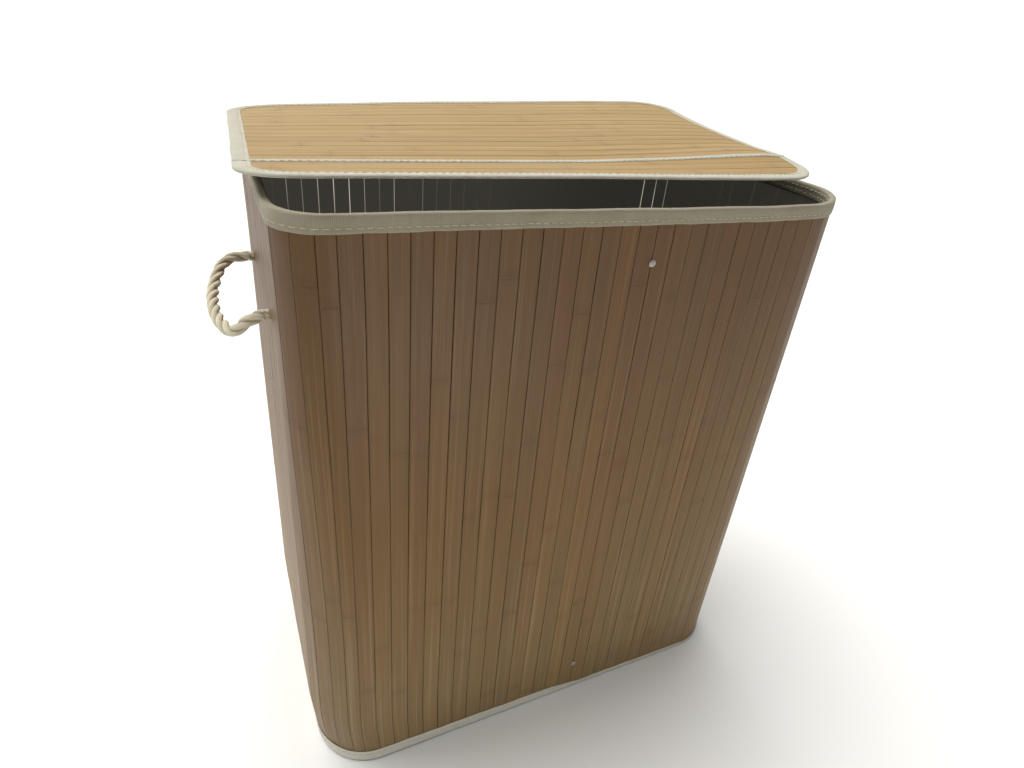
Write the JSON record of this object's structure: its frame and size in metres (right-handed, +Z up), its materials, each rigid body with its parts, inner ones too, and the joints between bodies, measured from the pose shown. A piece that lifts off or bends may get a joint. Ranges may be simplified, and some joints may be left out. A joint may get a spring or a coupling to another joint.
{
  "type": "laundry hamper with lid",
  "caption": "Tall rectangular bamboo-slat laundry hamper with rounded corners, tape-bound rim, two-panel bound lid and rope loop handles.",
  "frame": {"origin": "centre of the body's plan, on the floor", "axes": "+Z up, +X along the long side, -Y towards the front wall, the lid hinges along the +Y wall's top"},
  "size_m": [0.6148, 0.36, 0.613],
  "materials": {
    "bamboo_wall": "satin, vertical grain",
    "bamboo_lid": "satin, long grain",
    "dark_backing": "matt woven",
    "lid_backing": "matt woven",
    "rim_tape": "matt ribbed webbing",
    "foot_tape": "matt ribbed webbing",
    "lid_tape": "matt ribbed webbing",
    "thread": "matt",
    "spring_steel": "brushed",
    "fibreboard": "matt",
    "batten_wood": "planed",
    "rivet_plastic": "gloss",
    "eyelet_steel": "satin",
    "rope": "matt, three-strand"
  },
  "bodies": {
    "basket": {"back_backing_cloth": "dark_backing", "back_left_backing_cloth": "dark_backing", "back_left_corner_slats": "bamboo_wall", "back_right_backing_cloth": "dark_backing", "back_right_corner_slats": "bamboo_wall", "back_upright_batten": "batten_wood", "back_wall_slats": "bamboo_wall", "base_binding_tape": "rim_tape", "base_board": "fibreboard", "base_slats": "bamboo_wall", "batten_rivets": "rivet_plastic", "foot_binding_tape": "foot_tape", "foot_hoop": "spring_steel", "foot_stitching": "thread", "front_backing_cloth": "dark_backing", "front_left_backing_cloth": "dark_backing", "front_left_corner_slats": "bamboo_wall", "front_right_backing_cloth": "dark_backing", "front_right_corner_slats": "bamboo_wall", "front_upright_batten": "batten_wood", "front_wall_slats": "bamboo_wall", "left_backing_cloth": "dark_backing", "left_rope_knots": "rope", "left_wall_slats": "bamboo_wall", "lid_hinge_cloth": "lid_tape", "right_backing_cloth": "dark_backing", "right_rope_knots": "rope", "right_wall_slats": "bamboo_wall", "rim_binding_tape": "rim_tape", "rim_hoop": "spring_steel", "rim_stitching": "thread", "rivet_washers": "eyelet_steel", "rope_eyelets": "eyelet_steel"},
    "lid": {"lid_hinge_flap": "lid_tape", "lid_main_backing_cloth": "lid_backing", "lid_main_binding_tape": "lid_tape", "lid_main_slats": "bamboo_lid", "lid_main_stitching": "thread", "lid_seam_tape_main": "lid_tape"},
    "lid_front_flap": {"lid_front_backing_cloth": "lid_backing", "lid_front_binding_tape": "lid_tape", "lid_front_slats": "bamboo_lid", "lid_front_stitching": "thread", "lid_seam_tape_front": "lid_tape"},
    "left_handle": {"left_rope_handle": "rope"},
    "right_handle": {"right_rope_handle": "rope"}
  },
  "joints": [
    {"name": "lid_hinge", "type": "hinge", "parent": "basket", "child": "lid", "pos_m": [0, 0.16725, 0.6046], "axis": [-1, 0, 0], "range_deg": [0, 95]},
    {"name": "lid_front_fold", "type": "hinge", "parent": "lid", "child": "lid_front_flap", "pos_m": [0, -0.07, 0.6185], "axis": [-1, 0, 0], "range_deg": [0, 110]},
    {"name": "left_handle_swing", "type": "hinge", "parent": "basket", "child": "left_handle", "pos_m": [-0.2715, -0.01, 0.498], "axis": [0, 1, 0], "range_deg": [0, 85]},
    {"name": "right_handle_swing", "type": "hinge", "parent": "basket", "child": "right_handle", "pos_m": [0.2715, -0.01, 0.498], "axis": [0, -1, 0], "range_deg": [0, 85]}
  ]
}
